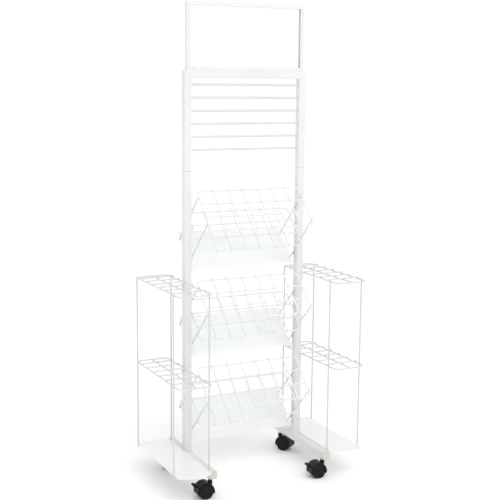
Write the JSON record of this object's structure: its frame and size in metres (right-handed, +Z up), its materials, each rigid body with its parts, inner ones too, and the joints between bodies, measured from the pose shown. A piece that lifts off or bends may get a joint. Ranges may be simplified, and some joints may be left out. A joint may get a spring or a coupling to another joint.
{
  "type": "wheeled wire display rack",
  "caption": "Wheeled retail rack: square-tube frame with hanging bars, card frame on top, tilted wire grids over stop panels, and a tall wire rack at each side.",
  "frame": {"origin": "centre of the footprint, on the floor", "axes": "X along the width, +Y to the back, +Z up"},
  "size_m": [0.697, 0.389, 1.6],
  "materials": {
    "frame_paint": "white powder coat on square tube and sheet, satin",
    "wire_paint": "white powder coat on wire, satin",
    "panel_paint": "cool white gloss coat on sheet",
    "cap_plastic": "cream moulded plastic",
    "caster_plastic": "black moulded nylon",
    "wheel_plastic": "black moulded nylon, lightly scuffed tread",
    "steel": "zinc plated"
  },
  "bodies": {
    "stand": {"upright_right": "frame_paint", "upright_left": "frame_paint", "upper_post_right": "frame_paint", "upper_post_left": "frame_paint", "top_bar": "frame_paint", "joint_sleeves": "frame_paint", "hanging_bars": "wire_paint", "foot_right": "frame_paint", "foot_left": "frame_paint", "foot_end_caps": "cap_plastic", "sign_bottom": "frame_paint", "sign_top": "frame_paint", "sign_left": "frame_paint", "sign_right": "frame_paint", "screws": "steel", "strut_lugs": "frame_paint", "rack_tabs": "frame_paint", "caster_stems": "steel", "stem_nuts": "steel", "tier_1_front_grid": "wire_paint", "tier_1_rear_grid": "wire_paint", "tier_1_stop_panel": "panel_paint", "tier_1_struts": "wire_paint", "tier_2_front_grid": "wire_paint", "tier_2_rear_grid": "wire_paint", "tier_2_stop_panel": "panel_paint", "tier_2_struts": "wire_paint", "tier_3_front_grid": "wire_paint", "tier_3_rear_grid": "wire_paint", "tier_3_stop_panel": "panel_paint", "tier_3_struts": "wire_paint", "rack_right_top_grid": "wire_paint", "rack_right_middle_grid": "wire_paint", "rack_right_posts": "wire_paint", "rack_right_base_plate": "frame_paint", "rack_left_top_grid": "wire_paint", "rack_left_middle_grid": "wire_paint", "rack_left_posts": "wire_paint", "rack_left_base_plate": "frame_paint"},
    "caster_front_left": {"caster_front_left_hood": "caster_plastic", "caster_front_left_axle": "steel"},
    "wheel_front_left_a": {"caster_front_left_wheel_a": "wheel_plastic"},
    "wheel_front_left_b": {"caster_front_left_wheel_b": "wheel_plastic"},
    "lever_front_left": {"caster_front_left_lever": "caster_plastic"},
    "caster_front_right": {"caster_front_right_hood": "caster_plastic", "caster_front_right_axle": "steel"},
    "wheel_front_right_a": {"caster_front_right_wheel_a": "wheel_plastic"},
    "wheel_front_right_b": {"caster_front_right_wheel_b": "wheel_plastic"},
    "lever_front_right": {"caster_front_right_lever": "caster_plastic"},
    "caster_back_left": {"caster_back_left_hood": "caster_plastic", "caster_back_left_axle": "steel"},
    "wheel_back_left_a": {"caster_back_left_wheel_a": "wheel_plastic"},
    "wheel_back_left_b": {"caster_back_left_wheel_b": "wheel_plastic"},
    "caster_back_right": {"caster_back_right_hood": "caster_plastic", "caster_back_right_axle": "steel"},
    "wheel_back_right_a": {"caster_back_right_wheel_a": "wheel_plastic"},
    "wheel_back_right_b": {"caster_back_right_wheel_b": "wheel_plastic"}
  },
  "joints": [
    {"name": "swivel_front_left", "type": "hinge", "parent": "stand", "child": "caster_front_left", "pos_m": [-0.2125, -0.139, 0], "axis": [0, 0, 1], "continuous": true},
    {"name": "roll_front_left_a", "type": "hinge", "parent": "caster_front_left", "child": "wheel_front_left_a", "pos_m": [-0.23245, -0.1376, 0.025], "axis": [-0.0698, -0.9976, 0], "continuous": true},
    {"name": "roll_front_left_b", "type": "hinge", "parent": "caster_front_left", "child": "wheel_front_left_b", "pos_m": [-0.23245, -0.1376, 0.025], "axis": [-0.0698, -0.9976, 0], "continuous": true},
    {"name": "brake_front_left", "type": "hinge", "parent": "caster_front_left", "child": "lever_front_left", "pos_m": [-0.23245, -0.1376, 0.025], "axis": [-0.0698, -0.9976, 0], "range_deg": [0, 20]},
    {"name": "swivel_front_right", "type": "hinge", "parent": "stand", "child": "caster_front_right", "pos_m": [0.2125, -0.139, 0], "axis": [0, 0, 1], "continuous": true},
    {"name": "roll_front_right_a", "type": "hinge", "parent": "caster_front_right", "child": "wheel_front_right_a", "pos_m": [0.19261, -0.13691, 0.025], "axis": [-0.1045, -0.9945, 0], "continuous": true},
    {"name": "roll_front_right_b", "type": "hinge", "parent": "caster_front_right", "child": "wheel_front_right_b", "pos_m": [0.19261, -0.13691, 0.025], "axis": [-0.1045, -0.9945, 0], "continuous": true},
    {"name": "brake_front_right", "type": "hinge", "parent": "caster_front_right", "child": "lever_front_right", "pos_m": [0.19261, -0.13691, 0.025], "axis": [-0.1045, -0.9945, 0], "range_deg": [0, 20]},
    {"name": "swivel_back_left", "type": "hinge", "parent": "stand", "child": "caster_back_left", "pos_m": [-0.2125, 0.166, 0], "axis": [0, 0, 1], "continuous": true},
    {"name": "roll_back_left_a", "type": "hinge", "parent": "caster_back_left", "child": "wheel_back_left_a", "pos_m": [-0.23129, 0.15916, 0.025], "axis": [0.342, -0.9397, 0], "continuous": true},
    {"name": "roll_back_left_b", "type": "hinge", "parent": "caster_back_left", "child": "wheel_back_left_b", "pos_m": [-0.23129, 0.15916, 0.025], "axis": [0.342, -0.9397, 0], "continuous": true},
    {"name": "swivel_back_right", "type": "hinge", "parent": "stand", "child": "caster_back_right", "pos_m": [0.2125, 0.166, 0], "axis": [0, 0, 1], "continuous": true},
    {"name": "roll_back_right_a", "type": "hinge", "parent": "caster_back_right", "child": "wheel_back_right_a", "pos_m": [0.22368, 0.14942, 0.025], "axis": [0.829, 0.5592, 0], "continuous": true},
    {"name": "roll_back_right_b", "type": "hinge", "parent": "caster_back_right", "child": "wheel_back_right_b", "pos_m": [0.22368, 0.14942, 0.025], "axis": [0.829, 0.5592, 0], "continuous": true}
  ]
}
